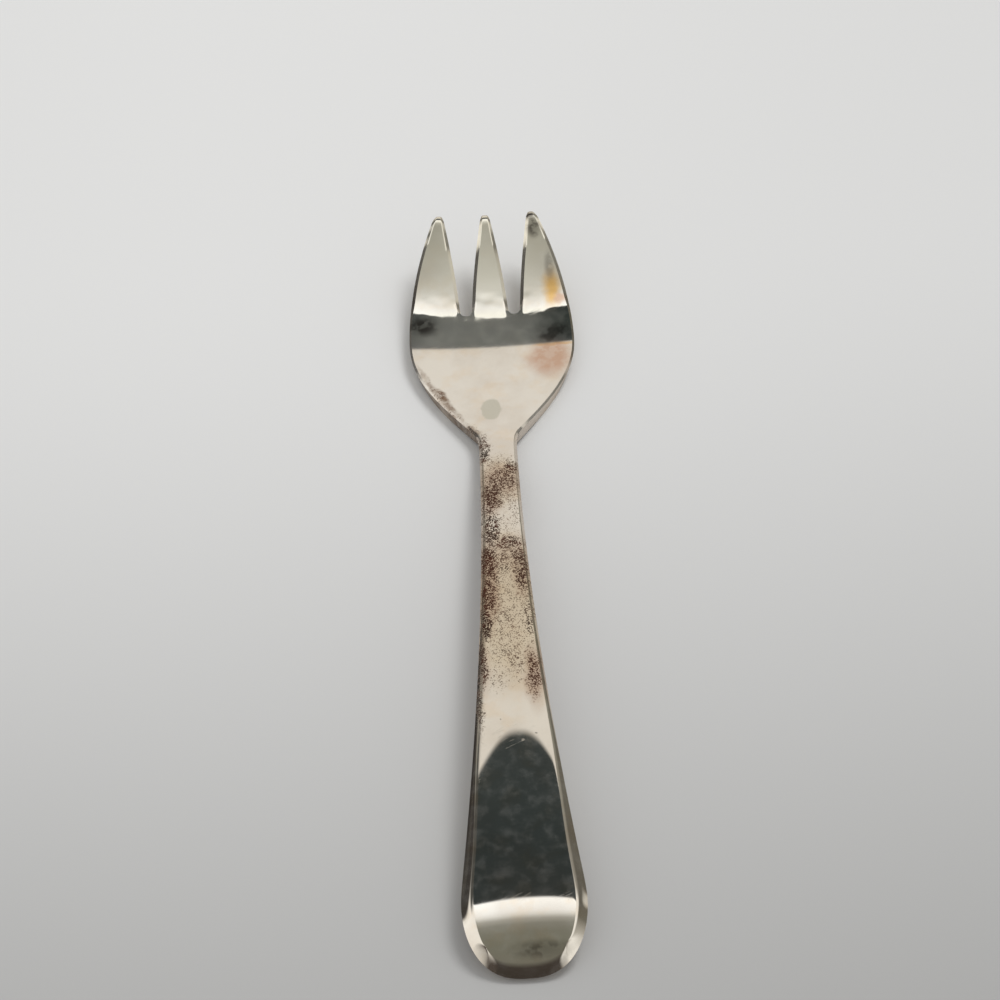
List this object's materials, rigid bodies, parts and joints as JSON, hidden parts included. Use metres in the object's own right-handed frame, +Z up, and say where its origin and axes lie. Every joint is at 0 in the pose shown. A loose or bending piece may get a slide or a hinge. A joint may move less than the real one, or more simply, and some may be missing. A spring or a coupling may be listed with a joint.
{
  "type": "child fork",
  "caption": "Small silver-coloured table fork: a rounded flat handle turned down at its end, a slim arched stem and a short shallow bowl that splits into tapered tines, for a child's meal.",
  "frame": {"origin": "on the table's surface, under the middle of the fork's length and width", "axes": "+Y along the fork from the handle to the tines, +Z up from the table, +X to the right seen from the handle"},
  "size_m": [0.0236, 0.1318, 0.0086],
  "materials": {
    "silver": "polished silver plate, worn and scratched, with dark speckled tarnish along the stem"
  },
  "bodies": {
    "root": {"fork": "silver"}
  },
  "joints": []
}
